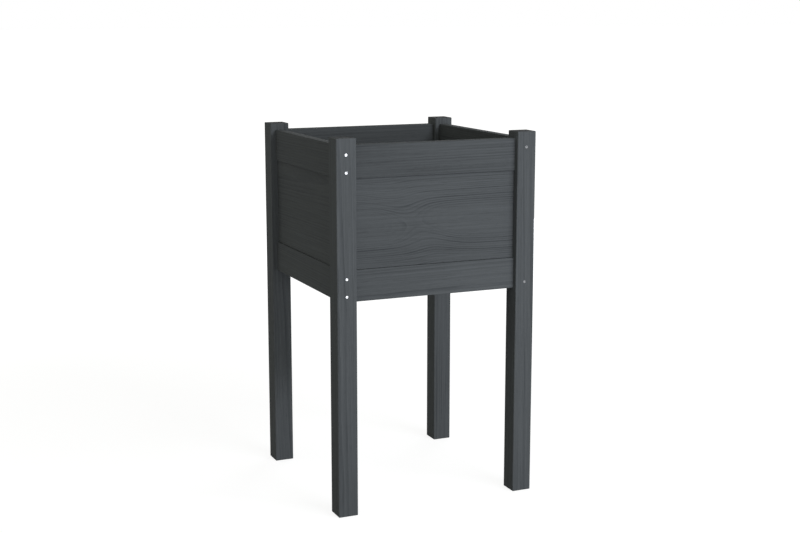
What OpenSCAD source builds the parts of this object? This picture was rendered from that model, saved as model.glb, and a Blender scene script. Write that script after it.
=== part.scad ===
// Raised planter on legs: a square box between four tall posts. Each side is a top rail and a bottom
// rail, and between them a wide thin panel set back in grooves in the rails and in the legs.
// Millimetres. The origin is on the ground, under the middle of the box.
// +X is to the right along the front, +Y is towards the back, +Z is up.

/* [Overall] */
// Width over the legs, left to right
planter_w = 400; // [330:5:600]
// Depth over the legs, front to back
planter_d = 400; // [330:5:600]
// Height of the legs
planter_h = 700; // [480:5:1100]

/* [Legs] */
// Side of the square legs
leg_s = 38; // [30:1:70]
// Bevel along the edges of the legs
leg_bevel = 1; // [0.5:0.1:3]

/* [Rails and panels] */
// Height of the top rail of each side
top_rail_h = 60.5; // [48:0.5:100]
// Height between the rails, where a panel stands
panel_h = 165.5; // [120:0.5:240]
// Height of the bottom rail of each side
bottom_rail_h = 58.5; // [48:0.5:100]
// Thickness of the rails, which stand on the legs' centre lines
rail_t = 17; // [14:0.5:26]
// Thickness of the panels, in the middle of the rails
panel_t = 11; // [8:0.5:13]
// Drop from the leg tops to the rim of the box
rim_drop = 13; // [0:0.5:60]
// Bevel along the edges of the rails
rail_bevel = 0.6; // [0.4:0.1:2]

/* [Tongue and groove] */
// Thickness of the tongue round a panel
tongue_t = 5; // [4:0.5:6]
// Depth that the tongue reaches into the rails and the legs
tongue_h = 6; // [4:0.5:7]
// Bevel at the tip of the tongue
tongue_bevel = 1; // [0.5:0.1:1.5]
// Clearance on each side of the tongue
groove_gap = 0.2; // [0.1:0.05:0.5]
// Clearance at the tip of the tongue, in the legs and in the top rail
groove_tip_gap = 0.8; // [0.5:0.1:2]
// Gap between the shoulders of a panel and the legs and the top rail
shoulder_gap = 0.3; // [0.1:0.1:1]
// Gap between the lower shoulder of a panel and the bottom rail
seam_gap = 0.5; // [0.2:0.1:1.5]

/* [Floor] */
// Height of the two ledgers that carry the floor
ledger_h = 20; // [18:1:40]
// Width of the ledgers
ledger_w = 22; // [20:1:40]
// Height of the ledgers above the lower edge of the box
ledger_lift = 4; // [0:0.5:20]
// Number of floor slats
slat_n = 5; // [3:1:5]
// Thickness of the floor slats
slat_t = 14; // [12:1:20]
// Drainage gap between two slats
slat_gap = 6; // [5:0.5:10]
// Bevel along the edges of the slats and the ledgers
slat_bevel = 1; // [0.5:0.1:2]
// Clearance of the floor to the rails and the legs
floor_gap = 1; // [0.5:0.1:3]

/* [Leg screws] */
// Diameter of the head
leg_head_d = 5.2; // [5:0.1:10]
// Diameter of the shank
leg_shank_d = 4; // [3:0.1:6]
// Depth that the screws reach into the ends of the side rails
leg_screw_bite = 32; // [20:1:45]
// Drop of the upper screw of a top rail below the rim of the box
top_screw_down = 16.5; // [8:0.5:18]
// Height of the lower screw of a top rail above the rail's lower edge
top_screw_up = 12; // [10:0.5:13]
// Drop of the upper screw of a bottom rail below the rail's upper edge
bottom_screw_down = 14.5; // [10:0.5:15]
// Height of the lower screw of a bottom rail above the lower edge of the box
bottom_screw_up = 12; // [6:0.5:13]

/* [Floor screws] */
// Diameter of the head
floor_head_d = 6.5; // [5:0.1:9]
// Diameter of the shank
floor_shank_d = 3.5; // [3:0.1:5]
// Depth that the ledger screws reach into the side rails
ledger_screw_bite = 10; // [6:0.5:12]
// Depth that the slat screws reach into the ledgers
slat_screw_bite = 15; // [10:0.5:17]
// Distance from the notch of an end slat to its screws, kept on every slat
slat_screw_in = 6.5; // [5:0.5:9]

/* [Dowels] */
// Diameter of the dowels
dowel_d = 6; // [5:0.5:6]
// Length of the dowels, half in the leg and half in the rail
dowel_l = 32; // [24:1:44]
// Bevel at the ends of the dowels
dowel_bevel = 1; // [0.5:0.1:1.5]
// Wood left in a leg between a dowel and the screw beside it
dowel_wall = 2; // [1.5:0.1:3]

/* [Hidden] */
// Depth of a screw head below the wood
head_sink = 0.3;
// Height of the straight rim of a screw head
head_rim = 0.5;
// Length of a screw's point, in shank diameters
point_ratio = 1.2;
// Clearance round a screw
screw_gap = 0.1;
// Clearance round a dowel
dowel_gap = 0.1;
// Clearance at the tip of a screw and at the ends of a dowel
tip_gap = 1;
// Overshoot of a cut past the face that it opens
cut = 1;

// Centre lines and inner faces
leg_x = (planter_w - leg_s) / 2;
leg_y = (planter_d - leg_s) / 2;
inner_x = leg_x - rail_t / 2;
inner_y = leg_y - rail_t / 2;
leg_inset = (leg_s - rail_t) / 2;
front_len = planter_w - 2 * leg_s;
side_len = planter_d - 2 * leg_s;

// Heights of the box
rim_z = planter_h - rim_drop;
top_rail_z = rim_z - top_rail_h;
panel_z = top_rail_z - panel_h;
box_z = panel_z - bottom_rail_h;
groove_h = tongue_h + groove_tip_gap;
ledger_z = box_z + ledger_lift;
floor_z = ledger_z + ledger_h;
ledger_x = inner_x - ledger_w / 2;

// Slats, spread evenly over the depth of the box
slat_area = 2 * (inner_y - floor_gap);
slat_w = (slat_area - (slat_n - 1) * slat_gap) / slat_n;
slat_step = slat_w + slat_gap;
slat_len = 2 * (inner_x - floor_gap);
notch = leg_inset + floor_gap;
function slat_y(i) = (i - (slat_n + 1) / 2) * slat_step;

// Screws
leg_screw_l = leg_s - head_sink + leg_screw_bite;
ledger_screw_l = ledger_w - head_sink + ledger_screw_bite;
slat_screw_l = slat_t - head_sink + slat_screw_bite;
top_pair_z = [rim_z - top_screw_down, top_rail_z + top_screw_up];
bottom_pair_z = [panel_z - bottom_screw_down, box_z + bottom_screw_up];
full_set_z = concat(top_pair_z, bottom_pair_z);
outer_set_z = [top_pair_z[0], bottom_pair_z[1]];
slat_screw_pitch = slat_w - 2 * (notch + slat_screw_in);
end_gap_y = (slat_n / 2 - 1) * slat_step;
ledger_screw_y = [-end_gap_y, 0, end_gap_y];

// Dowels: two in the end of each front and back rail, between the screws of the side rail
screw_to_dowel = leg_shank_d / 2 + dowel_wall + dowel_d / 2;
function dowel_pair(screw_z) = [screw_z[0] - screw_to_dowel, screw_z[1] + screw_to_dowel];
dowel_z = concat(dowel_pair(top_pair_z), dowel_pair(bottom_pair_z));

// Colours
wood = [0.34, 0.36, 0.37];
wood_floor = [0.31, 0.32, 0.33];
zinc = [0.82, 0.83, 0.84];
beech = [0.80, 0.64, 0.44];

slat_names = [for (i = [1:slat_n]) str("floor_slat_", i)];
$fn = 48;

// ---------- outlines ----------

// A rectangle centred on the origin, with its four corners bevelled
module bevelled_rect(w, h, b) {
  x = w / 2;
  y = h / 2;
  polygon([
    [b - x, -y], [x - b, -y], [x, b - y], [x, y - b],
    [x - b, y], [b - x, y], [-x, y - b], [-x, b - y]
  ]);
}

// A bar that stands on the origin, centred in X and Y, with every edge bevelled
module bevelled_bar(w, d, h, b) {
  intersection() {
    linear_extrude(h) bevelled_rect(w, d, b);
    translate([0, d / 2, h / 2]) rotate([90, 0, 0]) linear_extrude(d) bevelled_rect(w, h, b);
    translate([-w / 2, 0, h / 2]) rotate([90, 0, 90]) linear_extrude(w) bevelled_rect(d, h, b);
  }
}

// ---------- fasteners ----------

// A countersunk screw hanging down from the origin, with the flat of its head at z = 0
module screw(l, head_d, shank_d) {
  r = shank_d / 2;
  cone = head_d / 2 - r;
  tip = point_ratio * shank_d;
  rotate_extrude() polygon([
    [0, 0], [head_d / 2, 0], [head_d / 2, -head_rim], [r, -head_rim - cone], [r, tip - l], [0, -l]
  ]);
}

// The hole that the same screw makes when it is driven head_sink below the wood
module screw_hole(l, head_d, shank_d) {
  r = shank_d / 2 + screw_gap;
  head_r = head_d / 2 + screw_gap;
  cone = head_r - r;
  rotate_extrude() polygon([
    [0, head_sink + cut], [head_r, head_sink + cut], [head_r, -head_rim], [r, -head_rim - cone],
    [r, -l - tip_gap], [0, -l - tip_gap]
  ]);
}

// A dowel lying along X, centred on the origin
module dowel() {
  r = dowel_d / 2;
  e = dowel_l / 2;
  rotate([0, 90, 0]) rotate_extrude() polygon([
    [0, -e], [r - dowel_bevel, -e], [r, dowel_bevel - e], [r, e - dowel_bevel], [r - dowel_bevel, e], [0, e]
  ]);
}

module dowel_hole() {
  rotate([0, 90, 0]) cylinder(r = dowel_d / 2 + dowel_gap, h = dowel_l + 2 * tip_gap, center = true);
}

// ---------- patterns: each places its children where that fastener goes ----------

// Both front legs, or both back legs, take the leg screws. Seen from outside, the left leg of
// a frame has the full set and the right leg has only the highest and the lowest.
module at_leg_screws() {
  for (turn = [0, 180], side = [-1, 1], z = side < 0 ? full_set_z : outer_set_z)
    rotate([0, 0, turn]) translate([side * leg_x, head_sink - planter_d / 2, z])
      rotate([90, 0, 0]) children();
}

module at_dowels() {
  for (side = [-1, 1], front = [-1, 1], z = dowel_z)
    translate([side * front_len / 2, front * leg_y, z]) children();
}

module at_ledger_screws() {
  for (side = [-1, 1], y = ledger_screw_y)
    translate([side * (inner_x - ledger_w + head_sink), y, ledger_z + ledger_h / 2])
      rotate([0, -side * 90, 0]) children();
}

module at_slat_screws() {
  for (side = [-1, 1], i = [1:slat_n], half = [-0.5, 0.5])
    translate([side * ledger_x, slat_y(i) + half * slat_screw_pitch, floor_z + slat_t - head_sink])
      children();
}

// ---------- pieces ----------

// Places what lies along Y at the middle of the front (front = -1) or of the back (front = 1)
module at_frame(front, z) {
  translate([0, front * leg_y, z]) rotate([0, 0, 90]) children();
}

// Places what lies along Y at the middle of the left (side = -1) or of the right (side = 1)
module at_side(side, z) {
  translate([side * leg_x, 0, z]) children();
}

// The groove that holds a panel on all four edges, l long between the legs and on into them. It is
// as deep as the tongue in the bottom rail, and deeper by the clearance everywhere else.
module panel_groove(l) {
  translate([0, 0, (panel_h + groove_h - tongue_h) / 2])
    cube([tongue_t + 2 * groove_gap, l + 2 * groove_h, tongue_h + panel_h + groove_h], center = true);
}

module panel_grooves() {
  for (k = [-1, 1]) {
    at_frame(k, panel_z) panel_groove(front_len);
    at_side(k, panel_z) panel_groove(side_len);
  }
}

// A leg, grooved for two panels and drilled for the leg screws and for the dowels of its frame
module leg(side, front) {
  color(wood) difference() {
    translate([side * leg_x, front * leg_y, 0]) bevelled_bar(leg_s, leg_s, planter_h, leg_bevel);
    panel_grooves();
    at_leg_screws() screw_hole(leg_screw_l, leg_head_d, leg_shank_d);
    at_dowels() dowel_hole();
  }
}

// A rail along Y that stands on the origin, bevelled along its edges, with square ends
module rail(l, h) {
  translate([0, l / 2, h / 2]) rotate([90, 0, 0]) linear_extrude(l)
    bevelled_rect(rail_t, h, rail_bevel);
}

// A rail of the front or the back, drilled for its dowels
module frame_rail(front, z, h) {
  color(wood) difference() {
    at_frame(front, z) rail(front_len, h);
    panel_grooves();
    at_dowels() dowel_hole();
  }
}

// A rail of the left or the right, drilled for the leg and ledger screws
module side_rail(side, z, h) {
  color(wood) difference() {
    at_side(side, z) rail(side_len, h);
    panel_grooves();
    at_leg_screws() screw_hole(leg_screw_l, leg_head_d, leg_shank_d);
    at_ledger_screws() screw_hole(ledger_screw_l, floor_head_d, floor_shank_d);
  }
}

// A panel along Y, between legs that stand l apart, with a tongue round all four edges. It stands
// on its tongue, so that a fine dark gap shows all round its shoulders.
module panel(l) {
  tongued_l = l + 2 * tongue_h;
  tongued_h = panel_h + 2 * tongue_h;
  color(wood) {
    translate([0, 0, (panel_h + seam_gap - shoulder_gap) / 2])
      cube([panel_t, l - 2 * shoulder_gap, panel_h - seam_gap - shoulder_gap], center = true);
    intersection() {
      translate([0, tongued_l / 2, panel_h / 2]) rotate([90, 0, 0]) linear_extrude(tongued_l)
        bevelled_rect(tongue_t, tongued_h, tongue_bevel);
      translate([0, 0, -tongue_h]) linear_extrude(tongued_h)
        bevelled_rect(tongue_t, tongued_l, tongue_bevel);
    }
  }
}

// A ledger on the inside of a bottom side rail, from leg to leg
module floor_ledger(side) {
  color(wood_floor) difference() {
    translate([side * ledger_x, 0, ledger_z])
      bevelled_bar(ledger_w, side_len - 2 * floor_gap, ledger_h, slat_bevel);
    at_ledger_screws() screw_hole(ledger_screw_l, floor_head_d, floor_shank_d);
    at_slat_screws() screw_hole(slat_screw_l, floor_head_d, floor_shank_d);
  }
}

// A floor slat; the first and the last are notched round the legs
module floor_slat(i) {
  color(wood_floor) difference() {
    translate([0, slat_y(i), floor_z]) bevelled_bar(slat_len, slat_w, slat_t, slat_bevel);
    for (side = [-1, 1], front = [-1, 1])
      translate([side * leg_x, front * leg_y, floor_z - cut]) linear_extrude(slat_t + 2 * cut)
        square(leg_s + 2 * floor_gap, center = true);
    at_slat_screws() screw_hole(slat_screw_l, floor_head_d, floor_shank_d);
  }
}

module leg_screws() {
  color(zinc) at_leg_screws() screw(leg_screw_l, leg_head_d, leg_shank_d);
}

module frame_dowels() {
  color(beech) at_dowels() dowel();
}

module ledger_screws() {
  color(zinc) at_ledger_screws() screw(ledger_screw_l, floor_head_d, floor_shank_d);
}

module slat_screws() {
  color(zinc) at_slat_screws() screw(slat_screw_l, floor_head_d, floor_shank_d);
}

leg(-1, -1);  // leg_front_left
leg(1, -1);  // leg_front_right
leg(1, 1);  // leg_back_right
leg(-1, 1);  // leg_back_left
frame_rail(-1, top_rail_z, top_rail_h);  // front_top_rail
at_frame(-1, panel_z) panel(front_len);  // front_panel
frame_rail(-1, box_z, bottom_rail_h);  // front_bottom_rail
frame_rail(1, top_rail_z, top_rail_h);  // back_top_rail
at_frame(1, panel_z) panel(front_len);  // back_panel
frame_rail(1, box_z, bottom_rail_h);  // back_bottom_rail
side_rail(-1, top_rail_z, top_rail_h);  // left_top_rail
at_side(-1, panel_z) panel(side_len);  // left_panel
side_rail(-1, box_z, bottom_rail_h);  // left_bottom_rail
side_rail(1, top_rail_z, top_rail_h);  // right_top_rail
at_side(1, panel_z) panel(side_len);  // right_panel
side_rail(1, box_z, bottom_rail_h);  // right_bottom_rail
floor_ledger(-1);  // floor_ledger_left
floor_ledger(1);  // floor_ledger_right
for (i = [1:slat_n]) floor_slat(i);
leg_screws();
frame_dowels();
ledger_screws();
slat_screws();
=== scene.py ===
"""Raised planter on legs: the finishes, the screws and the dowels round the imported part, and a stage.

Everything is in metres, in the part's own frame: +X to the right along the front, +Y to the back, +Z up.
"""

import math
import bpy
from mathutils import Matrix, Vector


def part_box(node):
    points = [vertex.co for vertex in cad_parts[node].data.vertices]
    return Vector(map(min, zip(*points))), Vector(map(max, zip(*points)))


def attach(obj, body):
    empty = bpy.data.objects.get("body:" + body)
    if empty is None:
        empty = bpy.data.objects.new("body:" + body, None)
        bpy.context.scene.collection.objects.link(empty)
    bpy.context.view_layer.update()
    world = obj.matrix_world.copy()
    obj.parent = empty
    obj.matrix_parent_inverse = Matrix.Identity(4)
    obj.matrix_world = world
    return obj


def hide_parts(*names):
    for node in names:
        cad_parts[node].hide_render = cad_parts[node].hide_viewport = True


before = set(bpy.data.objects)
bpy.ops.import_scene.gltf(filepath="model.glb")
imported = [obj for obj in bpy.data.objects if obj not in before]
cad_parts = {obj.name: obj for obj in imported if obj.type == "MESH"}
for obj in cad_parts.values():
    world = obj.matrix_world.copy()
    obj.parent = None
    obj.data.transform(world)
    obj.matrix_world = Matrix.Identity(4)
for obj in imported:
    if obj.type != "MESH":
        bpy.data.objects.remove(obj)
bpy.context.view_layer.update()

import bpy
import numpy as np
from bpy.props import (
    FloatProperty,
    FloatVectorProperty,
    IntProperty,
    PointerProperty,
)
from bpy.types import Operator, Panel, PropertyGroup
from mathutils import Euler, Matrix, Vector

bl_info = {
    "name": "Raised planter on legs",
    "version": (1, 0, 0),
    "blender": (4, 5, 0),
    "location": "3D View > Sidebar > Planter",
    "description": "Stained pine, screws and dowels for a raised planter, with its stage",
    "category": "Object",
}

BODY = "root"
MM = 0.001

# The way that each side of the box faces, and the axis that its boards run along.
OUTWARD = {"front": (0, -1, 0), "back": (0, 1, 0), "left": (-1, 0, 0), "right": (1, 0, 0)}
RUN = {"front": "x", "back": "x", "left": "y", "right": "y"}
UP = (0, 0, 1)
AXES = {"x": Vector((1, 0, 0)), "y": Vector((0, 1, 0)), "z": Vector((0, 0, 1))}
FLOOR_BOARDS = [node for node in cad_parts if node.startswith("floor_")]

# The seeds of the random draws.
RAIL_DRAW = 41
FLOOR_DRAW = 77
SCREW_DRAW = 12


# ---------------------------------------------------------------- sizes and colours


class StainedPine(PropertyGroup):
    """The stained pine of the legs, the rails, the panels and the floor."""

    stain: FloatVectorProperty(
        name="Stain",
        description="Colour of the spring wood under the stain",
        subtype="COLOR",
        default=(0.104, 0.112, 0.1165),
        min=0,
        max=1,
    )
    summer_wood: FloatVectorProperty(
        name="Summer wood",
        description="Colour of the dark lines of summer wood",
        subtype="COLOR",
        default=(0.068, 0.074, 0.0785),
        min=0,
        max=1,
    )
    ring_width: FloatProperty(
        name="Ring width",
        description="Width of a year's growth",
        subtype="DISTANCE",
        unit="LENGTH",
        default=0.0042,
        min=0.001,
        max=0.01,
    )
    end_grain: FloatProperty(
        name="End grain",
        description="How light the end grain is, against the long faces",
        subtype="FACTOR",
        default=0.38,
        min=0,
        max=1,
    )
    arris: FloatProperty(
        name="Arris wear",
        description="How much lighter the rubbed arrises are",
        subtype="FACTOR",
        default=0.06,
        min=0,
        max=1,
    )


class ScrewCut(PropertyGroup):
    """The cut of the screws inside the plain shapes that the part gives them."""

    recess_across: FloatProperty(
        name="Recess across",
        description="Size of the star recess over its lobes, as a share of the head's diameter",
        subtype="FACTOR",
        default=0.58,
        min=0.3,
        max=0.8,
    )
    lobe: FloatProperty(
        name="Lobe depth",
        description="How far the star's outline goes in and out, as a share of its size",
        subtype="FACTOR",
        default=0.14,
        min=0.05,
        max=0.25,
    )
    pitch: FloatProperty(
        name="Thread pitch",
        description="Distance between two turns of the thread, as a share of the shank's diameter",
        subtype="FACTOR",
        default=0.5,
        min=0.2,
        max=1,
    )
    core: FloatProperty(
        name="Core",
        description="Diameter at the root of the thread, as a share of the shank's diameter",
        subtype="FACTOR",
        default=0.68,
        min=0.4,
        max=0.9,
    )
    plain: FloatProperty(
        name="Plain shank",
        description="Share of the length under the head that has no thread",
        subtype="FACTOR",
        default=0.35,
        min=0,
        max=0.8,
    )
    zinc: FloatVectorProperty(
        name="Zinc",
        description="Colour of the zinc plate",
        subtype="COLOR",
        default=(0.70, 0.71, 0.73),
        min=0,
        max=1,
    )


class DowelCut(PropertyGroup):
    """The fluted beech dowels."""

    flutes: IntProperty(
        name="Flutes",
        description="Number of flutes round a dowel",
        default=16,
        min=6,
        max=32,
    )
    flute_depth: FloatProperty(
        name="Flute depth",
        description="Depth of a flute",
        subtype="DISTANCE",
        unit="LENGTH",
        default=0.00035,
        min=0,
        max=0.001,
    )
    beech: FloatVectorProperty(
        name="Beech",
        description="Colour of the bare beech",
        subtype="COLOR",
        default=(0.60, 0.40, 0.22),
        min=0,
        max=1,
    )


class Stage(PropertyGroup):
    """The floor, the lamps and the camera."""

    key_power: FloatProperty(
        name="Key lamp",
        description="Power of the soft box at the right of the front",
        subtype="POWER",
        unit="POWER",
        default=44.0,
        min=0,
    )
    fill_power: FloatProperty(
        name="Fill lamp",
        description="Power of the low lamp in front",
        subtype="POWER",
        unit="POWER",
        default=39.0,
        min=0,
    )
    back_power: FloatProperty(
        name="Back lamp",
        description="Power of the low soft box behind and at the right",
        subtype="POWER",
        unit="POWER",
        default=74.0,
        min=0,
    )
    sky: FloatProperty(
        name="Sky",
        description="Strength of the even light all round",
        default=0.338,
        min=0,
    )
    lens: FloatProperty(
        name="Lens",
        description="Focal length of the camera's lens, in millimetres",
        default=62.78,
        min=10,
    )
    floor_half: FloatProperty(
        name="Floor half side",
        description="Half the side of the floor",
        subtype="DISTANCE",
        unit="LENGTH",
        default=60.0,
        min=2,
    )


# ---------------------------------------------------------------- what the part gives


def middle_of(node):
    """The middle of a CAD node's box."""
    low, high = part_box(node)
    return (low + high) / 2


def points_of(node):
    """All corners of a CAD node's mesh, as rows of x, y, z."""
    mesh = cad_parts[node].data
    corners = np.empty(len(mesh.vertices) * 3, np.float64)
    mesh.vertices.foreach_get("co", corners)
    return corners.reshape(-1, 3)


def solids_of(node):
    """The lowest corner, the highest corner and all corners of each separate solid in a CAD node.

    Corners in the same place are one point. Every point starts with a label of its own, and each
    triangle gives its three points the lowest label among them, until nothing changes.
    """
    same_place = 0.01 * MM
    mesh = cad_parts[node].data
    mesh.calc_loop_triangles()
    tris = np.empty(len(mesh.loop_triangles) * 3, np.int64)
    mesh.loop_triangles.foreach_get("vertices", tris)
    corners = points_of(node)
    rounded = np.round(corners / same_place).astype(np.int64)
    places, point_of = np.unique(rounded, axis=0, return_inverse=True)
    point_of = point_of.reshape(-1)
    tris = point_of[tris].reshape(-1, 3)
    label = np.arange(len(places))
    while True:
        lowest = label[tris].min(axis=1)
        new = label.copy()
        for corner in range(3):
            np.minimum.at(new, tris[:, corner], lowest)
        new = new[new]
        if np.array_equal(new, label):
            break
        label = new
    solid_of = label[point_of]
    solids = [corners[solid_of == first] for first in np.unique(label)]
    return [(solid.min(axis=0), solid.max(axis=0), solid) for solid in solids]


def head_and_way(low, high, corners):
    """Where a screw's head is, which way it points, its length, and the radii of its head and shank.

    The head is at the end that is wider. The shank is measured past the cone of the head and short
    of the tip, between a fifth and 19 twentieths of the length.
    """
    at_the_end = 0.1 * MM
    past_cone = 0.2
    short_of_tip = 0.95
    long = int(np.argmax(high - low))
    middle = (low + high) / 2
    length = high[long] - low[long]
    off = np.delete(corners - middle, long, axis=1)
    reach = np.hypot(off[:, 0], off[:, 1])
    width_high = reach[corners[:, long] > high[long] - at_the_end].max()
    width_low = reach[corners[:, long] < low[long] + at_the_end].max()
    head_is_high = width_high > width_low
    start = middle.copy()
    start[long] = high[long] if head_is_high else low[long]
    way = np.zeros(3)
    way[long] = -1 if head_is_high else 1
    share = (corners[:, long] - start[long]) * way[long] / length
    shank = reach[(share > past_cone) & (share < short_of_tip)].max()
    return start, way, length, reach.max(), shank


# ---------------------------------------------------------------- surfaces


def grid_faces(rings, around):
    """Quads of a closed sheet of rings by points around, and a fan of triangles at each pole.

    Point j of ring i has the number i * around + j, and the two poles come after the rings.
    """
    i, j = np.meshgrid(np.arange(rings - 1), np.arange(around), indexing="ij")
    here = i * around
    below = (i + 1) * around
    after = (j + 1) % around
    quads = np.stack([here + j, here + after, below + after, below + j], -1).reshape(-1, 4)
    j = np.arange(around)
    after = (j + 1) % around
    first_pole = np.full(around, rings * around)
    last_ring = (rings - 1) * around
    first = np.stack([first_pole, after, j], -1)
    last = np.stack([first_pole + 1, last_ring + j, last_ring + after], -1)
    return quads, np.vstack([first, last])


def mesh_from(name, points, quads, tris):
    """A mesh object from whole arrays of points, quads and triangles."""
    mesh = bpy.data.meshes.new(name)
    mesh.vertices.add(len(points))
    mesh.vertices.foreach_set("co", np.asarray(points, np.float32).ravel())
    loops = np.concatenate([quads.ravel(), tris.ravel()])
    mesh.loops.add(len(loops))
    mesh.loops.foreach_set("vertex_index", loops.astype(np.int32))
    starts = np.concatenate([np.arange(len(quads)) * 4, len(quads) * 4 + np.arange(len(tris)) * 3])
    mesh.polygons.add(len(starts))
    mesh.polygons.foreach_set("loop_start", starts.astype(np.int32))
    mesh.polygons.foreach_set("use_smooth", np.ones(len(starts), bool))
    mesh.update(calc_edges=True)
    mesh.validate()
    piece = bpy.data.objects.new(name, mesh)
    bpy.context.scene.collection.objects.link(piece)
    return piece


def piece_from(name, surfaces):
    """One mesh object from closed surfaces, each given as its points, its rings and its points around."""
    points, quads, tris, count = [], [], [], 0
    for surface, rings, around in surfaces:
        sides, poles = grid_faces(rings, around)
        points.append(surface)
        quads.append(sides + count)
        tris.append(poles + count)
        count += len(surface)
    return mesh_from(name, np.vstack(points), np.vstack(quads), np.vstack(tris))


def smooth_step(x):
    """0 below 0, 1 above 1, and 3x² - 2x³ in between."""
    x = np.clip(x, 0, 1)
    return x * x * (3 - 2 * x)


def round_rings(values, around):
    """Rings by points around, with each ring's own value at all of its points."""
    return np.repeat(values[:, None], around, 1)


def star_recess(radius, turn, across, lobe, depth):
    """Depth of a six-lobed star recess at a radius and an angle.

    Its outline is the wavy ring R (1 - lobe + lobe cos 6a), where R is half the size across. The
    walls lean over a twelfth of R, and the bottom is deepest in the middle.
    """
    dish = 0.15
    lean = across / 24
    outline = across / 2 * (1 - lobe + lobe * np.cos(6 * turn))
    inside = (outline - radius) / lean
    return depth * (1 - dish * radius / outline) * smooth_step(inside)


def screw_surface(length, head_r, shank_r, cut, around=48):
    """A countersunk wood screw that hangs down from the origin: points of its rings, then its poles.

    The rings run from the middle of the head out to its edge, down its rim and cone, down the plain
    shank and the thread, and in to the point. They are closest where the walls of the recess are.
    On the thread the radius goes from core to crest and back in each pitch. The turn runs clockwise
    seen from the head, and each ring sinks a pitch in one turn, so the ridge is a right-hand helix.
    """
    turn = np.arange(around) / around * 2 * math.pi
    share = turn / (2 * math.pi)

    edge = 0.1 * MM
    recess_depth = head_r * 0.55
    bottom = [0.1, 0.3]
    walls = np.linspace(0.62, 1.06, 12) * cut.recess_across
    flat = [0.8, 0.93, 1.0]
    out = np.concatenate([bottom, walls, flat])
    face_r = round_rings(out * (head_r - edge), around)
    face_z = -star_recess(face_r, turn, 2 * head_r * cut.recess_across, cut.lobe, recess_depth)

    rim = 0.5 * MM
    cone = head_r - shank_r
    point = 1.2 * 2 * shank_r
    plain_r = shank_r * 0.99
    neck = -(rim + cone + cut.plain * (length - rim - cone - point))
    side_r = np.array([head_r, head_r, shank_r + cone * 0.5, shank_r + cone * 0.12, plain_r, plain_r])
    side_z = -np.array([edge, rim, rim + cone * 0.5, rim + cone * 0.9, rim + cone * 1.25, -neck])

    pitch = cut.pitch * 2 * shank_r
    core_r = shank_r * cut.core
    turns = int((length + neck - 0.6 * point) / pitch)
    # Four rings to a pitch: the core, the foot of the ridge, its crest, and its other foot.
    phase = np.tile([0.0, 0.38, 0.5, 0.62], turns)
    ridge = np.tile([0.0, 0.0, 1.0, 0.0], turns)
    level = np.repeat(np.arange(turns), 4)
    down = (level + phase) * pitch
    thread_z = neck - 0.5 * pitch - down[:, None] - share * pitch
    crest = core_r + (shank_r - core_r) * ridge[:, None] * smooth_step(down / pitch)[:, None]
    to_tip = np.clip((thread_z + length) / point, 0, 1)
    blunt = 0.12
    thread_r = crest * (blunt + (1 - blunt) * np.clip(to_tip * 1.15, 0, 1))
    lowest = -length + 0.15 * MM

    radius = np.vstack([face_r, round_rings(side_r, around), thread_r])
    z = np.vstack([face_z, round_rings(side_z, around), np.maximum(thread_z, lowest)])
    points = np.stack([radius * np.cos(turn), -radius * np.sin(turn), z], -1).reshape(-1, 3)
    middle_of_head = [0, 0, face_z[0].mean()]
    tip = [0, 0, -length]
    return np.vstack([points, [middle_of_head, tip]]), len(radius), around


def dowel_surface(length, radius, cut, bevel=1.0 * MM):
    """A fluted dowel along X, centred on the origin.

    The radius is lowered by a cosine that goes round as often as there are flutes, and the ends
    narrow by the bevel.
    """
    points_a_flute = 6
    around = cut.flutes * points_a_flute
    turn = np.arange(around) / around * 2 * math.pi
    x = np.array([-length / 2, -length / 2 + bevel, -length / 2 + 2 * bevel])
    x = np.concatenate([x, -x[::-1]])
    shrink = np.array([bevel, 0, 0, 0, 0, bevel])[:, None]
    fluted = np.array([0.3, 1, 1, 1, 1, 0.3])[:, None]
    wave = (0.5 - 0.5 * np.cos(turn * cut.flutes)) ** 2
    ring_r = radius - shrink - cut.flute_depth * fluted * wave
    points = np.stack([round_rings(x, around), ring_r * np.cos(turn), ring_r * np.sin(turn)], -1)
    poles = [[x[0], 0, 0], [x[-1], 0, 0]]
    return np.vstack([points.reshape(-1, 3), poles]), len(x), around


def place_along(points, start, direction):
    """Turns points that hang down from the origin to run from start along direction."""
    turn = np.array(Vector((0, 0, -1)).rotation_difference(Vector(direction)).to_matrix())
    return points @ turn.T + start


# ---------------------------------------------------------------- materials

# How often each noise in a log changes in a metre: along the fibres, and across them.
SWAY = (3.2, 13.0)
SHIVER = (14.0, 70.0)
FADE = (5.0, 32.0)
FIBRE = (6.0, 620.0)
STREAK = (3.5, 170.0)
PORE = (45.0, 2300.0)
BLOTCH = (2.6, 10.0)

# Wide and narrow years: how often they change in a metre of radius, and by how much of a year.
GOOD_YEARS = 95.0
GOOD_YEAR = 0.9

# How high the summer wood and the fibres stand, and how deep the pores are, in millimetres.
SUMMER_HEIGHT = 0.05
FIBRE_HEIGHT = 0.09
PORE_DEPTH = 0.05

# How much the marks swing the stain, how much a pore darkens it, and how light the tops stay under the
# painted shade that stands in for the weaker light falling on them.
SWINGS = {"Fibre": 0.5, "Streak": 0.42, "Blotch": 0.24}
PORE_SHADE = 0.2
TOP_PAINTED_SHADE = 0.74

# The wood's roughness, what the fibres add to it, and what the summer wood takes off.
ROUGHNESS = 0.72
FIBRE_ROUGHNESS = 0.16
SUMMER_SHEEN = 0.08

# How far the noises of one board stand from those of the next, in metres along and across.
SEED_STEP = (3.7, 1.3, 0.0)

# How often the zinc and the beech change in a metre: the zinc all round, the beech along and across.
MOTTLE = 900.0
GRIT = 5200.0
FLECK = (220.0, 2600.0)
BEECH_TONE = (30.0, 200.0)


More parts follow.
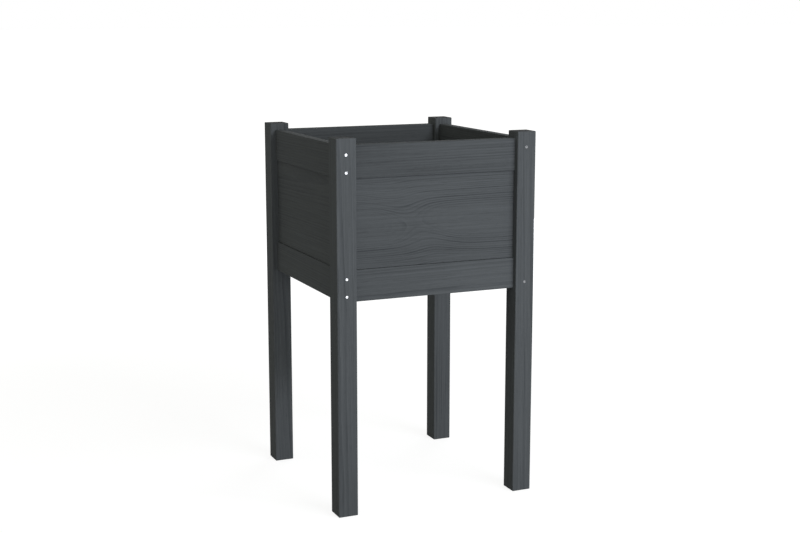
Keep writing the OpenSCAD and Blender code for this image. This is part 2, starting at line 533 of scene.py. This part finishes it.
class Nodes:
    """Short ways to add and link the nodes of one tree."""

    def __init__(self, tree):
        self.tree = tree

    def add(self, kind, **settings):
        """A new node with these settings."""
        node = self.tree.nodes.new(kind)
        for key, value in settings.items():
            setattr(node, key, value)
        return node

    def join(self, value, socket):
        """Links an output to a socket, or gives the socket a plain value."""
        if isinstance(value, bpy.types.NodeSocket):
            self.tree.links.new(value, socket)
        else:
            socket.default_value = value

    def math(self, operation, *values):
        """One step of arithmetic on numbers."""
        node = self.add("ShaderNodeMath", operation=operation)
        for value, socket in zip(values, node.inputs):
            self.join(value, socket)
        return node.outputs[0]

    def vector(self, operation, *values):
        """One step of arithmetic on vectors."""
        node = self.add("ShaderNodeVectorMath", operation=operation)
        for value, socket in zip(values, node.inputs):
            self.join(value, socket)
        return node.outputs["Value"] if operation == "LENGTH" else node.outputs[0]

    def scaled(self, vector, factor):
        """A vector or a colour, times a number."""
        product = self.vector("SCALE", vector)
        self.join(factor, product.node.inputs["Scale"])
        return product

    def swing(self, noise, amount):
        """How far a noise stands from its middle, times an amount."""
        return self.math("MULTIPLY", self.math("SUBTRACT", noise, 0.5), amount)

    def split(self, vector):
        """The x, y and z of a vector."""
        parts = self.add("ShaderNodeSeparateXYZ")
        self.join(vector, parts.inputs[0])
        return parts.outputs

    def noise(self, vector, scale=1.0, detail=2.0, roughness=0.5):
        """A noise node in three dimensions."""
        node = self.add("ShaderNodeTexNoise")
        self.join(vector, node.inputs["Vector"])
        node.inputs["Scale"].default_value = scale
        node.inputs["Detail"].default_value = detail
        node.inputs["Roughness"].default_value = roughness
        return node

    def drawn_out(self, place, often, **settings):
        """A noise node drawn out along X. often says how often it changes along X and across it."""
        along, across = often
        return self.noise(self.vector("MULTIPLY", place, (along, across, across)), **settings)

    def range(self, value, low, high, to_low=0.0, to_high=1.0, smooth=True):
        """A value's place between low and high, eased if smooth, as a number from to_low to to_high."""
        node = self.add("ShaderNodeMapRange", interpolation_type="SMOOTHSTEP" if smooth else "LINEAR")
        for given, socket in zip((value, low, high, to_low, to_high), node.inputs):
            self.join(given, socket)
        return node.outputs[0]

    def mix_colour(self, factor, first, second):
        """The first colour at factor 0, the second at 1, and the same line carried on past 1."""
        node = self.add("ShaderNodeMix", data_type="RGBA", clamp_factor=False)
        self.join(factor, node.inputs["Factor"])
        for value, socket in zip((first, second), [s for s in node.inputs if s.type == "RGBA"]):
            self.join(value if isinstance(value, bpy.types.NodeSocket) else (*value, 1), socket)
        return next(s for s in node.outputs if s.type == "RGBA")

    def relief(self, shader, height, distance, strength):
        """Gives a shader the relief of a height, counted in units of distance."""
        bump = self.add("ShaderNodeBump")
        bump.inputs["Strength"].default_value = strength
        bump.inputs["Distance"].default_value = distance
        self.join(height, bump.inputs["Height"])
        self.join(bump.outputs[0], shader.inputs["Normal"])


def new_group(name, inputs, outputs):
    """An empty node group with these inputs, as name: (kind, default), and outputs, as name: kind."""
    tree = bpy.data.node_groups.new(name, "ShaderNodeTree")
    for key, (kind, default) in inputs.items():
        socket = tree.interface.new_socket(key, in_out="INPUT", socket_type=kind)
        if default is not None:
            socket.default_value = default
    for key, kind in outputs.items():
        tree.interface.new_socket(key, in_out="OUTPUT", socket_type=kind)
    n = Nodes(tree)
    return n, n.add("NodeGroupInput").outputs, n.add("NodeGroupOutput").inputs


def distance_from_pith(n, given, place):
    """How far a point of a log is from its pith.

    Where the pith bows it lies deeper, by the bow times exp(-t²), with t the distance along the log
    from the bow's place, in bow lengths. The bow leans as the point lies further across. A slow
    noise sways the point by the warp, and a quick one shivers it by a millimetre.
    """
    shiver_width = 1.1 * MM
    middle_grey = (0.5, 0.5, 0.5)
    only_across = (0.0, 1.0, 1.0)
    along, across, depth = n.split(given["Log"])
    leant = n.math("SUBTRACT", along, n.math("MULTIPLY", across, given["Bow lean"]))
    away = n.math("DIVIDE", n.math("SUBTRACT", leant, given["Bow place"]), given["Bow length"])
    hump = n.math("EXPONENT", n.math("MULTIPLY", n.math("MULTIPLY", away, away), -1.0))
    bowed = n.add("ShaderNodeCombineXYZ")
    n.join(across, bowed.inputs[1])
    n.join(n.math("ADD", depth, n.math("MULTIPLY", given["Bow"], hump)), bowed.inputs[2])

    slow = n.drawn_out(place, SWAY, detail=1.5).outputs["Color"]
    quick = n.drawn_out(place, SHIVER, detail=1.0).outputs["Color"]
    sway = n.scaled(n.vector("SUBTRACT", slow, middle_grey), given["Warp"])
    shiver = n.scaled(n.vector("SUBTRACT", quick, middle_grey), shiver_width)
    swayed = n.vector("ADD", n.vector("ADD", bowed.outputs[0], sway), shiver)
    return n.vector("LENGTH", n.vector("MULTIPLY", swayed, only_across))


def summer_wood_at(n, given, place, reach):
    """How dark the year rings are at a distance from the pith.

    The distance is cut into years, of which a noise makes some wider. In each year the summer wood
    darkens slowly and ends sharply, and the first spring wood is a little lighter. Each year has a
    strength of its own, the core is faint, and the rings fade in places.
    """
    good_years = n.add("ShaderNodeTexNoise", noise_dimensions="1D")
    n.join(n.math("MULTIPLY", reach, GOOD_YEARS), good_years.inputs["W"])
    good_years.inputs["Scale"].default_value = 1.0
    good_years.inputs["Detail"].default_value = 1.0
    wider = n.math("MULTIPLY", good_years.outputs[0], GOOD_YEAR)
    years = n.math("ADD", n.math("DIVIDE", reach, given["Year"]), wider)

    which = n.add("ShaderNodeTexWhiteNoise", noise_dimensions="1D")
    n.join(n.math("ADD", n.math("FLOOR", years), given["First year"]), which.inputs["W"])
    strength = n.range(which.outputs["Value"], 0.0, 1.0, 0.2, 1.0, smooth=False)
    past_core = n.range(n.math("DIVIDE", reach, given["Core"]), 0.8, 1.3, 0.12, 1.0)
    strength = n.math("MULTIPLY", strength, past_core)
    fade = n.drawn_out(place, FADE, detail=2.0).outputs[0]
    strength = n.math("MULTIPLY", strength, n.range(fade, 0.36, 0.62, 0.3, 1.0))

    season = n.math("FRACT", years)
    rise = n.range(season, 0.25, 0.9)
    fall = n.range(season, 0.93, 1.0, 1.0, 0.0)
    spring = n.range(season, 0.0, 0.3, 0.3, 0.0)
    ring = n.math("SUBTRACT", n.math("MULTIPLY", rise, fall), spring)
    return n.math("MULTIPLY", ring, strength)


def pine_grain():
    """The grain of a log, from coordinates with X along the pith.

    Fibres, streaks, resin pores and the slow blotches of the stain are noise drawn out along the
    log. The outputs are these, the summer wood, and the height of the surface in millimetres.
    """
    n, given, out = new_group(
        "Pine grain",
        {
            "Log": ("NodeSocketVector", None),
            "Year": ("NodeSocketFloat", 0.0042),
            "Bow": ("NodeSocketFloat", 0.0),
            "Bow place": ("NodeSocketFloat", 0.0),
            "Bow length": ("NodeSocketFloat", 0.1),
            "Bow lean": ("NodeSocketFloat", 0.0),
            "Warp": ("NodeSocketFloat", 0.006),
            "Core": ("NodeSocketFloat", 0.02),
            "First year": ("NodeSocketFloat", 0.0),
            "Seed": ("NodeSocketVector", None),
        },
        {
            "Summer wood": "NodeSocketFloat",
            "Fibre": "NodeSocketFloat",
            "Streak": "NodeSocketFloat",
            "Pore": "NodeSocketFloat",
            "Blotch": "NodeSocketFloat",
            "Height": "NodeSocketFloat",
        },
    )
    place = n.vector("ADD", given["Log"], given["Seed"])
    reach = distance_from_pith(n, given, place)
    summer = summer_wood_at(n, given, place, reach)
    fibre = n.drawn_out(place, FIBRE, detail=4.0, roughness=0.78).outputs[0]
    streak = n.drawn_out(place, STREAK, detail=3.0, roughness=0.6).outputs[0]
    pore = n.range(n.drawn_out(place, PORE, detail=1.0).outputs[0], 0.60, 0.70)
    blotch = n.drawn_out(place, BLOTCH, detail=2.0).outputs[0]

    height = n.math("MULTIPLY", summer, SUMMER_HEIGHT)
    height = n.math("ADD", height, n.math("MULTIPLY", fibre, FIBRE_HEIGHT))
    height = n.math("SUBTRACT", height, n.math("MULTIPLY", pore, PORE_DEPTH))
    n.join(summer, out["Summer wood"])
    n.join(fibre, out["Fibre"])
    n.join(streak, out["Streak"])
    n.join(pore, out["Pore"])
    n.join(blotch, out["Blotch"])
    n.join(height, out["Height"])
    return n.tree


def grain_group():
    """The grain that all boards share, made once."""
    return bpy.data.node_groups.get("Pine grain") or pine_grain()


def shader_of(name):
    """A new material, its node helper and its Principled shader."""
    material = bpy.data.materials.new(name)
    material.use_nodes = True
    n = Nodes(material.node_tree)
    return material, n, material.node_tree.nodes["Principled BSDF"]


def log_in_board(axis, face, middle, pith, tilt):
    """Where a log's frame starts, and its turn: its X along the board, its Z out of the best face."""
    along = AXES[axis]
    outwards = Vector(face)
    board = Matrix((along, outwards.cross(along), outwards)).transposed()
    start = Vector(middle) + board @ Vector((0, pith[0], -pith[1]))
    tipped = board @ Euler((0, *tilt)).to_matrix()
    return start, tipped.to_euler("XYZ")


def stained_pine(
    node,
    pine,
    axis,
    face,
    pith,
    tilt=(0, 0),
    bow=(0, 0, 0.1, 0),
    year=1.0,
    tone=1.0,
    drift=0.0,
    warp=0.006,
    core=0.02,
    first_year=0,
    marked=1.0,
    seed=0,
):
    """Pine stained grey, for the board that is one CAD node.

    axis is the board's run, and face is the way that its best face looks. pith is how far the log's
    pith lies from the board's middle, across the board and into it from that face. The tilt of the
    log against the board gives the arches. bow is the depth, place, length and lean of a bow in the
    log. year widens the rings, warp is how far they sway, core is the radius inside which they are
    faint, first_year picks which of them are strong, and marked is how much all of them show. tone
    is how light the stain is, and drift is how much lighter it gets in a metre along the board.
    seed sets the noises apart. The end grain, the tops and the rubbed arrises are told by the surface's
    own direction. The tops get a painted shade, darker than the sides, that stands in for the weaker
    light falling on them.
    """
    material, n, shader = shader_of("Stained pine " + node)
    start, turn = log_in_board(axis, face, middle_of(node), pith, tilt)
    coordinates = n.add("ShaderNodeTexCoord")
    mapping = n.add("ShaderNodeMapping", vector_type="TEXTURE")
    n.join(coordinates.outputs["Object"], mapping.inputs["Vector"])
    mapping.inputs["Location"].default_value = start
    mapping.inputs["Rotation"].default_value = turn
    figure = n.add("ShaderNodeGroup")
    figure.node_tree = grain_group()
    n.join(mapping.outputs[0], figure.inputs["Log"])
    keys = ("Year", "Bow", "Bow place", "Bow length", "Bow lean", "Warp", "Core", "First year")
    for key, value in zip(keys, (pine.ring_width * year, *bow, warp, core, first_year)):
        figure.inputs[key].default_value = value
    figure.inputs["Seed"].default_value = [step * seed for step in SEED_STEP]
    marks = figure.outputs

    # The largest part of the normal is 1 on a flat face and less on an arris. The part along the
    # board tells the end grain, and the part along Z tells a top, which gets painted shade.
    normal = n.add("ShaderNodeNewGeometry").outputs["True Normal"]
    straight = n.split(n.vector("ABSOLUTE", normal))
    largest = n.math("MAXIMUM", n.math("MAXIMUM", straight[0], straight[1]), straight[2])
    arris = n.range(largest, 0.97, 0.75)
    end = n.range(straight["xyz".index(axis)], 0.75, 0.9)
    top_painted_shade = n.range(n.split(normal)[2], 0.5, 0.9, 1.0, TOP_PAINTED_SHADE)

    rings = n.math("MULTIPLY", marks["Summer wood"], marked)
    colour = n.mix_colour(rings, pine.stain, pine.summer_wood)
    along = n.split(mapping.outputs[0])[0]
    shade = n.math("ADD", n.math("MULTIPLY", along, drift), tone)
    for mark, amount in SWINGS.items():
        shade = n.math("ADD", shade, n.swing(marks[mark], amount))
    shade = n.math("SUBTRACT", shade, n.math("MULTIPLY", marks["Pore"], PORE_SHADE))
    worn = n.range(marks["Fibre"], 0.35, 0.62, 0.2, pine.arris * 2)
    rubbed = n.math("MULTIPLY", arris, worn)
    shade = n.math("ADD", shade, n.math("MULTIPLY", rubbed, 0.5))
    shade = n.math("MULTIPLY", shade, n.range(end, 0.0, 1.0, 1.0, pine.end_grain, smooth=False))
    # Faces that look up are painted darker: painted shade for the weaker light on the tops.
    shade = n.math("MULTIPLY", shade, top_painted_shade)
    n.join(n.scaled(colour, shade), shader.inputs["Base Color"])

    rough = n.math("ADD", n.math("MULTIPLY", marks["Fibre"], FIBRE_ROUGHNESS), ROUGHNESS)
    rough = n.math("SUBTRACT", rough, n.math("MULTIPLY", marks["Summer wood"], SUMMER_SHEEN))
    n.join(rough, shader.inputs["Roughness"])
    shader.inputs["Specular IOR Level"].default_value = 0.08
    n.relief(shader, marks["Height"], distance=MM, strength=0.8)
    return material


def zinc_plate(colour):
    """Bright zinc plate with fine grey mottling. It is painted darker on the right: painted shade for the
    weaker reflection on the screws there.
    """
    material, n, shader = shader_of("Bright zinc plate")
    place = n.add("ShaderNodeTexCoord").outputs["Object"]
    mottle = n.noise(place, scale=MOTTLE, detail=3.0).outputs[0]
    grit = n.noise(place, scale=GRIT, detail=1.0).outputs[0]
    dull = [channel * 0.82 for channel in colour]
    plate = n.mix_colour(n.range(mottle, 0.35, 0.65), dull, colour)
    # The screws on the right are painted darker, standing in for their weaker reflection.
    painted_dim_right = n.range(n.split(place)[0], -0.1, 0.1, 1.0, 0.4)
    n.join(n.scaled(plate, painted_dim_right), shader.inputs["Base Color"])
    n.join(n.range(mottle, 0.3, 0.7, 0.24, 0.4), shader.inputs["Roughness"])
    shader.inputs["Metallic"].default_value = 1.0
    n.relief(shader, grit, distance=0.02 * MM, strength=0.25)
    return material


def bare_beech(colour):
    """Bare beech: short dark flecks along the dowel and a faint slow change of tone."""
    material, n, shader = shader_of("Bare beech")
    place = n.add("ShaderNodeTexCoord").outputs["Object"]
    fleck = n.drawn_out(place, FLECK, detail=1.0).outputs[0]
    slow = n.drawn_out(place, BEECH_TONE, detail=2.0).outputs[0]
    dark = [channel * 0.66 for channel in colour]
    dusky = [channel * 0.9 for channel in colour]
    plain = n.mix_colour(n.range(slow, 0.3, 0.7), dusky, colour)
    n.join(n.mix_colour(n.range(fleck, 0.62, 0.72), plain, dark), shader.inputs["Base Color"])
    shader.inputs["Roughness"].default_value = 0.65
    shader.inputs["Specular IOR Level"].default_value = 0.3
    n.relief(shader, fleck, distance=0.05 * MM, strength=0.5)
    return material


def seen_directly(n):
    """1 for what the camera sees, straight or in metal or through glass, and 0 for the light itself."""
    path = n.add("ShaderNodeLightPath")
    seen = n.math("MAXIMUM", path.outputs["Is Camera Ray"], path.outputs["Is Glossy Ray"])
    return n.math("MAXIMUM", seen, path.outputs["Is Transmission Ray"])


def show_and_throw(n, shown, thrown, surface):
    """Gives a surface one shader for what the camera sees, and another for the light that it throws."""
    choice = n.add("ShaderNodeMixShader")
    n.join(seen_directly(n), choice.inputs[0])
    n.join(thrown.outputs[0], choice.inputs[1])
    n.join(shown.outputs[0], choice.inputs[2])
    n.join(choice.outputs[0], surface)


def pale_floor():
    """A white floor that keeps a faint shadow. The light that it throws back is a quiet grey, and it
    throws hardly any near the legs, so that the light on them falls off towards the ground.
    """
    material = bpy.data.materials.new("Pale floor")
    material.use_nodes = True
    n = Nodes(material.node_tree)
    n.tree.nodes.clear()
    output = n.add("ShaderNodeOutputMaterial")
    # Both strengths grow with the distance from the planter's middle, in metres.
    away = n.vector("LENGTH", n.add("ShaderNodeTexCoord").outputs["Object"])
    white = n.range(away, 0.9, 3.0, 0.86, 1.0)
    quiet_grey = n.range(away, 0.3, 1.3, 0.14, 0.40)
    shadow_grey = (0.3, 0.3, 0.3, 1)
    glow = n.add("ShaderNodeEmission")
    n.join(white, glow.inputs["Strength"])
    lit = n.add("ShaderNodeBsdfDiffuse")
    lit.inputs["Color"].default_value = shadow_grey
    shown = n.add("ShaderNodeAddShader")
    n.join(glow.outputs[0], shown.inputs[0])
    n.join(lit.outputs[0], shown.inputs[1])
    thrown = n.add("ShaderNodeBsdfDiffuse")
    n.join(quiet_grey, thrown.inputs["Color"])
    show_and_throw(n, shown, thrown, output.inputs["Surface"])
    return material


# ---------------------------------------------------------------- boards


def dress(node, material):
    """Gives a CAD node its finish."""
    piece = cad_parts[node]
    if not piece.material_slots:
        piece.data.materials.append(None)
    piece.material_slots[0].material = material


def drawn(draw, low, high):
    """A plain number from a random draw between two limits."""
    return float(draw.uniform(low, high))


class PLANTER_OT_legs(Operator):
    """Stains the four legs, each from its own part of a log"""

    bl_idname = "planter.legs"
    bl_label = "Legs"

    def execute(self, context):
        pine = context.scene.planter_pine
        cuts = {
            "leg_front_left": dict(
                pith=(0.024, 0.040),
                tilt=(0.004, 0.003),
                tone=0.965,
                drift=0.20,
                seed=1,
            ),
            "leg_front_right": dict(pith=(-0.034, 0.040), tilt=(-0.008, 0.006), tone=0.99, seed=2),
            "leg_back_right": dict(pith=(0.040, 0.030), tilt=(0.006, -0.008), tone=1.12, seed=3),
            "leg_back_left": dict(pith=(-0.030, 0.044), tilt=(-0.010, 0.006), tone=1.03, seed=4),
        }
        for node, cut in cuts.items():
            dress(node, stained_pine(node, pine, "z", OUTWARD["front"], year=0.85, warp=0.005, **cut))
        return {"FINISHED"}


class PLANTER_OT_rails(Operator):
    """Stains the eight rails of the box, with straight grain"""

    bl_idname = "planter.rails"
    bl_label = "Rails"

    def execute(self, context):
        pine = context.scene.planter_pine
        draw = np.random.default_rng(RAIL_DRAW)
        chosen = {
            "front_top_rail": dict(tone=0.86, drift=0.55),
            "front_bottom_rail": dict(
                pith=(-0.042, 0.05),
                tilt=(0.0, 0.012),
                tone=0.97,
                drift=0.40,
                first_year=3,
                marked=1.15,
            ),
        }
        for number, (side, face) in enumerate(OUTWARD.items()):
            for place, first_seed in (("top", 13), ("bottom", 9)):
                node = f"{side}_{place}_rail"
                hand = float(draw.choice((-1, 1)))
                cut = dict(
                    pith=(hand * drawn(draw, 0.05, 0.11), drawn(draw, 0.04, 0.08)),
                    tilt=(drawn(draw, -0.01, 0.01), drawn(draw, -0.015, 0.015)),
                    tone=drawn(draw, 0.95, 1.0),
                    drift=drawn(draw, -0.2, 0.2),
                    year=1.05,
                    warp=0.004,
                    seed=first_seed + number,
                )
                cut |= chosen.get(node, {})
                dress(node, stained_pine(node, pine, RUN[side], face, **cut))
        return {"FINISHED"}


class PLANTER_OT_panels(Operator):
    """Stains the four wide panels, whose bowed logs give arches that meet nose to nose"""

    bl_idname = "planter.panels"
    bl_label = "Panels"

    def execute(self, context):
        pine = context.scene.planter_pine
        cuts = {
            "front": dict(
                pith=(-0.004, 0.013),
                bow=(0.0195, -0.043, 0.057, -0.85),
                core=0.036,
                year=0.88,
                first_year=396,
                marked=1.4,
                tone=0.92,
                drift=0.15,
                seed=5,
            ),
            "back": dict(
                pith=(0.012, 0.035),
                tilt=(0.03, 0.01),
                bow=(0.012, 0.06, 0.06, 0.2),
                core=0.042,
                tone=0.98,
                seed=6,
            ),
            "left": dict(pith=(-0.07, 0.05), tilt=(-0.02, 0.01), tone=0.98, seed=7),
            "right": dict(
                pith=(0.02, 0.032),
                tilt=(0.03, -0.01),
                bow=(0.014, -0.05, 0.05, -0.3),
                core=0.038,
                tone=1.0,
                seed=8,
            ),
        }
        for side, cut in cuts.items():
            node = f"{side}_panel"
            dress(node, stained_pine(node, pine, RUN[side], OUTWARD[side], warp=0.005, **cut))
        return {"FINISHED"}


class PLANTER_OT_floor_boards(Operator):
    """Stains the floor slats and the two ledgers that carry them"""

    bl_idname = "planter.floor_boards"
    bl_label = "Floor slats and ledgers"

    def execute(self, context):
        pine = context.scene.planter_pine
        draw = np.random.default_rng(FLOOR_DRAW)
        for seed, node in enumerate(FLOOR_BOARDS, start=17):
            axis = "y" if "ledger" in node else "x"
            cut = dict(
                pith=(drawn(draw, -0.05, 0.05), drawn(draw, 0.03, 0.07)),
                tilt=(drawn(draw, -0.03, 0.03), drawn(draw, -0.03, 0.03)),
                tone=drawn(draw, 0.86, 0.94),
            )
            dress(node, stained_pine(node, pine, axis, UP, seed=seed, **cut))
        return {"FINISHED"}


# ---------------------------------------------------------------- screws and dowels


class PLANTER_OT_screws(Operator):
    """Cuts every screw with its star recess and its thread, where the part has a plain one"""

    bl_idname = "planter.screws"
    bl_label = "Screws"

    def execute(self, context):
        cut = context.scene.planter_screws
        zinc = zinc_plate(tuple(cut.zinc))
        draw = np.random.default_rng(SCREW_DRAW)
        one_lobe = math.pi / 3
        for node in ("leg_screws", "ledger_screws", "slat_screws"):
            screws = []
            for low, high, corners in solids_of(node):
                start, way, length, head_r, shank_r = head_and_way(low, high, corners)
                surface, rings, around = screw_surface(length, head_r, shank_r, cut)
                spin = Matrix.Rotation(draw.uniform(0, one_lobe), 3, "Z")
                turned = surface @ np.array(spin).T
                screws.append((place_along(turned, start, way), rings, around))
            piece = piece_from(node + "_cut", screws)
            piece.data.materials.append(zinc)
            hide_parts(node)
            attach(piece, BODY)
        return {"FINISHED"}


class PLANTER_OT_dowels(Operator):
    """Cuts the fluted dowels of the front and back frames"""

    bl_idname = "planter.dowels"
    bl_label = "Dowels"

    def execute(self, context):
        cut = context.scene.planter_dowels
        dowels = []
        for low, high, _ in solids_of("frame_dowels"):
            surface, rings, around = dowel_surface(high[0] - low[0], (high[2] - low[2]) / 2, cut)
            dowels.append((surface + (low + high) / 2, rings, around))
        piece = piece_from("frame_dowels_cut", dowels)
        piece.data.materials.append(bare_beech(tuple(cut.beech)))
        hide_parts("frame_dowels")
        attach(piece, BODY)
        return {"FINISHED"}


# ---------------------------------------------------------------- stage

# The floor lies this far under the feet, so that the two never share a plane.
FLOOR_GAP = 0.2 * MM
SKY_COLOUR = (0.995, 1.0, 0.895, 1)
LAMP_COLOUR = (0.895, 0.92, 1.0)

# Each lamp's azimuth and elevation in degrees, its distance, its size, and the point that it faces.
LAMPS = {
    "key": ((25, 31.3), 3.2, (2.07, 0.51), (0, -0.18, 0.5)),
    "fill": ((2, 2), 3.5, (2.2, 0.85), (0, 0, 0.35)),
    "back": ((138, 0), 3.5, (1.6, 0.66), (0, 0, 0.36)),
}

# Where the camera stands, and its turn about X, Y and Z in degrees.
CAMERA_PLACE = (-1.0792, -2.4866, 0.9240)
CAMERA_TURN = (79.54, 0, -23.66)


class PLANTER_OT_stage(Operator):
    """Lays the floor, hangs the lamps and sets the camera"""

    bl_idname = "planter.stage"
    bl_label = "Stage"

    def execute(self, context):
        stage = context.scene.planter_stage
        scene = context.scene
        scene.view_settings.view_transform = "Standard"
        self.lay_floor(scene, stage.floor_half)
        self.light_room(scene, stage.sky)
        powers = {"key": stage.key_power, "fill": stage.fill_power, "back": stage.back_power}
        for name, power in powers.items():
            self.hang(scene, name, power, *LAMPS[name])
        self.set_camera(scene, stage.lens)
        return {"FINISHED"}

    @staticmethod
    def lay_floor(scene, half):
        """Lays a square floor under the feet."""
        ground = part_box("leg_front_left")[0].z - FLOOR_GAP
        corners = [(x * half, y * half, ground) for x, y in ((-1, -1), (1, -1), (1, 1), (-1, 1))]
        mesh = bpy.data.meshes.new("floor")
        mesh.from_pydata(corners, [], [(0, 1, 2, 3)])
        floor = bpy.data.objects.new("floor", mesh)
        scene.collection.objects.link(floor)
        floor.data.materials.append(pale_floor())

    @staticmethod
    def light_room(scene, strength):
        """Lights the room evenly from all round, and shows it white."""
        world = bpy.data.worlds.new("Soft room")
        scene.world = world
        world.use_nodes = True
        n = Nodes(world.node_tree)
        n.tree.nodes.clear()
        output = n.add("ShaderNodeOutputWorld")
        light = n.add("ShaderNodeBackground")
        light.inputs["Color"].default_value = SKY_COLOUR
        light.inputs["Strength"].default_value = strength
        white = n.add("ShaderNodeBackground")
        white.inputs["Color"].default_value = (1, 1, 1, 1)
        show_and_throw(n, white, light, output.inputs["Surface"])

    @staticmethod
    def hang(scene, name, power, angles, distance, size, aim):
        """Hangs a rectangular soft box that faces aim, from its azimuth and elevation in degrees."""
        azimuth, elevation = map(math.radians, angles)
        flat = math.cos(elevation)
        way = Vector((math.sin(azimuth) * flat, -math.cos(azimuth) * flat, math.sin(elevation)))
        lamp = bpy.data.lights.new(name, "AREA")
        lamp.shape = "RECTANGLE"
        lamp.size, lamp.size_y = size
        lamp.energy = power
        lamp.color = LAMP_COLOUR
        holder = bpy.data.objects.new(name, lamp)
        scene.collection.objects.link(holder)
        holder.location = Vector(aim) + way * distance
        holder.rotation_euler = way.to_track_quat("Z", "Y").to_euler()

    @staticmethod
    def set_camera(scene, lens):
        """Sets the camera in front and to the left, a little above the planter, looking down at it."""
        view = bpy.data.cameras.new("camera")
        view.sensor_width = 36.0
        view.lens = lens
        view.clip_start, view.clip_end = 0.05, 300.0
        camera = bpy.data.objects.new("camera", view)
        scene.collection.objects.link(camera)
        camera.location = CAMERA_PLACE
        camera.rotation_euler = [math.radians(angle) for angle in CAMERA_TURN]
        scene.camera = camera


# ---------------------------------------------------------------- panel and registration

SETTINGS = {
    "planter_pine": StainedPine,
    "planter_screws": ScrewCut,
    "planter_dowels": DowelCut,
    "planter_stage": Stage,
}
OPERATORS = (
    PLANTER_OT_stage,
    PLANTER_OT_legs,
    PLANTER_OT_rails,
    PLANTER_OT_panels,
    PLANTER_OT_floor_boards,
    PLANTER_OT_screws,
    PLANTER_OT_dowels,
)


class PLANTER_PT_sidebar(Panel):
    """Lists the settings and the steps that make the planter."""

    bl_label = "Planter"
    bl_idname = "PLANTER_PT_sidebar"
    bl_space_type = "VIEW_3D"
    bl_region_type = "UI"
    bl_category = "Planter"

    def draw(self, context):
        for name, group in SETTINGS.items():
            box = self.layout.box()
            box.label(text=group.__name__)
            for key in group.__annotations__:
                box.prop(getattr(context.scene, name), key)
        for operator in OPERATORS:
            self.layout.operator(operator.bl_idname)


CLASSES = (*SETTINGS.values(), *OPERATORS, PLANTER_PT_sidebar)


def register():
    for listed in CLASSES:
        bpy.utils.register_class(listed)
    for name, group in SETTINGS.items():
        setattr(bpy.types.Scene, name, PointerProperty(type=group))


def unregister():
    for name in SETTINGS:
        delattr(bpy.types.Scene, name)
    for listed in reversed(CLASSES):
        bpy.utils.unregister_class(listed)


def main():
    """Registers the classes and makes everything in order."""
    register()
    for operator in OPERATORS:
        space, name = operator.bl_idname.split(".")
        getattr(getattr(bpy.ops, space), name)()


if __name__ == "__main__":
    main()
